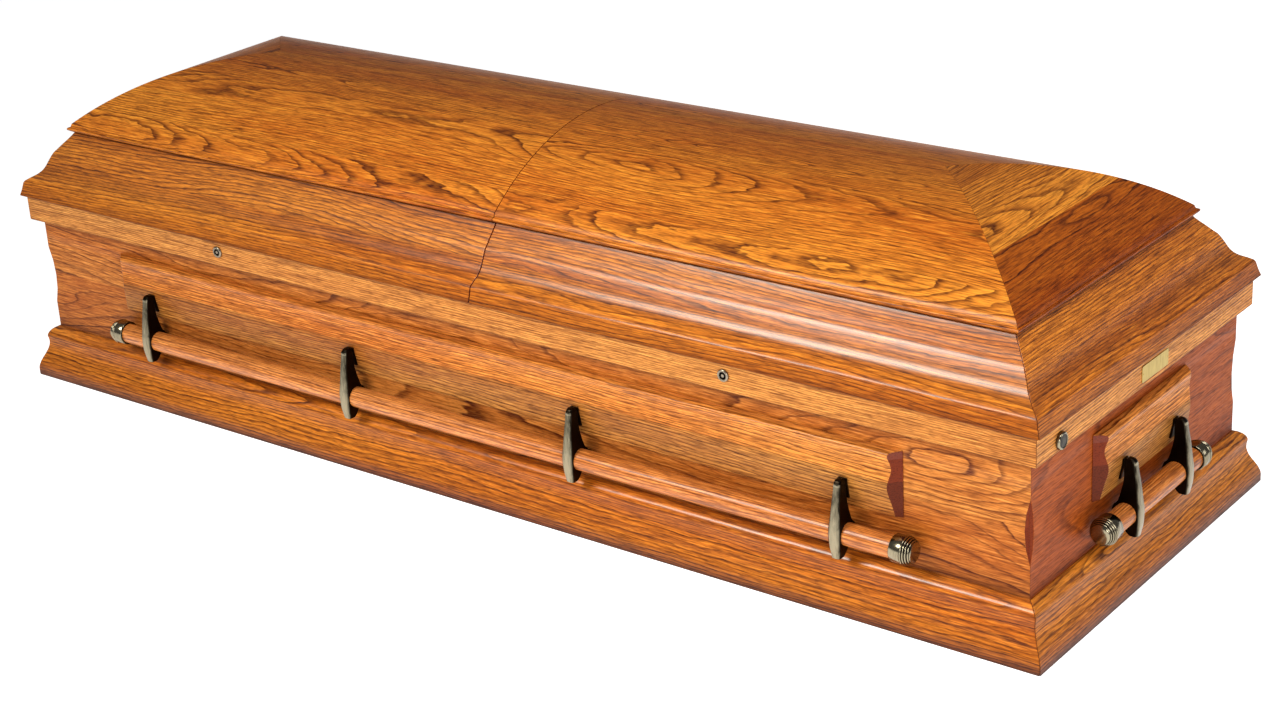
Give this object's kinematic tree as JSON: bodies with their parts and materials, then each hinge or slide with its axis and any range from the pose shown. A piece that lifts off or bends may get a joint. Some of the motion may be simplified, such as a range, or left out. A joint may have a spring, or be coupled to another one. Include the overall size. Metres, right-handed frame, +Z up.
{
  "type": "wooden coffin",
  "caption": "Long wooden coffin with a moulded base, an overhanging split lid with hipped curved top, and swinging bar handles on its sides and ends.",
  "frame": {"origin": "middle of the underside, on the surface it stands on", "axes": "+X along the length to the foot end, -Y out of the front long side, +Z up"},
  "size_m": [2.154, 0.755, 0.5833],
  "materials": {
    "oak": "golden brown stained oak, satin lacquer",
    "lid_oak": "golden brown stained oak, semi-gloss lacquer",
    "bare_oak": "plain unstained oak, unpolished",
    "antique_metal": "antique brass plate, darkened in the recesses"
  },
  "bodies": {
    "coffin_box": {"bottom_board": "bare_oak", "front_wall": "oak", "front_base_moulding": "oak", "front_rim_band": "oak", "front_applied_moulding": "oak", "front_handle_lug_1": "antique_metal", "front_handle_lug_2": "antique_metal", "front_handle_lug_3": "antique_metal", "front_handle_lug_4": "antique_metal", "back_wall": "oak", "back_base_moulding": "oak", "back_rim_band": "oak", "back_applied_moulding": "oak", "back_handle_lug_1": "antique_metal", "back_handle_lug_2": "antique_metal", "back_handle_lug_3": "antique_metal", "back_handle_lug_4": "antique_metal", "foot_wall": "oak", "foot_base_moulding": "oak", "foot_rim_band": "oak", "foot_applied_moulding": "oak", "foot_handle_lug_1": "antique_metal", "foot_handle_lug_2": "antique_metal", "head_wall": "oak", "head_base_moulding": "oak", "head_rim_band": "oak", "head_applied_moulding": "oak", "head_handle_lug_1": "antique_metal", "head_handle_lug_2": "antique_metal", "head_lid_frame": "lid_oak", "head_lid_crown": "lid_oak", "foot_lid_frame": "lid_oak", "foot_lid_crown": "lid_oak", "ferrule_head": "antique_metal", "ferrule_foot": "antique_metal", "record_tube_knob": "antique_metal"},
    "front_handle": {"front_handle_bar": "oak", "front_handle_tip_1": "antique_metal", "front_handle_tip_2": "antique_metal", "front_handle_arm_1": "antique_metal", "front_handle_arm_2": "antique_metal", "front_handle_arm_3": "antique_metal", "front_handle_arm_4": "antique_metal"},
    "back_handle": {"back_handle_bar": "oak", "back_handle_tip_1": "antique_metal", "back_handle_tip_2": "antique_metal", "back_handle_arm_1": "antique_metal", "back_handle_arm_2": "antique_metal", "back_handle_arm_3": "antique_metal", "back_handle_arm_4": "antique_metal"},
    "foot_handle": {"foot_handle_bar": "oak", "foot_handle_tip_1": "antique_metal", "foot_handle_tip_2": "antique_metal", "foot_handle_arm_1": "antique_metal", "foot_handle_arm_2": "antique_metal"},
    "head_handle": {"head_handle_bar": "oak", "head_handle_tip_1": "antique_metal", "head_handle_tip_2": "antique_metal", "head_handle_arm_1": "antique_metal", "head_handle_arm_2": "antique_metal"}
  },
  "joints": [
    {"name": "front_handle_swing", "type": "hinge", "parent": "coffin_box", "child": "front_handle", "pos_m": [0, -0.3575, 0.2145], "axis": [-1, 0, 0], "range_deg": [0, 85]},
    {"name": "back_handle_swing", "type": "hinge", "parent": "coffin_box", "child": "back_handle", "pos_m": [0, 0.3575, 0.2145], "axis": [1, 0, 0], "range_deg": [0, 85]},
    {"name": "foot_handle_swing", "type": "hinge", "parent": "coffin_box", "child": "foot_handle", "pos_m": [1.057, 0, 0.2145], "axis": [0, -1, 0], "range_deg": [0, 85]},
    {"name": "head_handle_swing", "type": "hinge", "parent": "coffin_box", "child": "head_handle", "pos_m": [-1.057, 0, 0.2145], "axis": [0, 1, 0], "range_deg": [0, 85]}
  ]
}
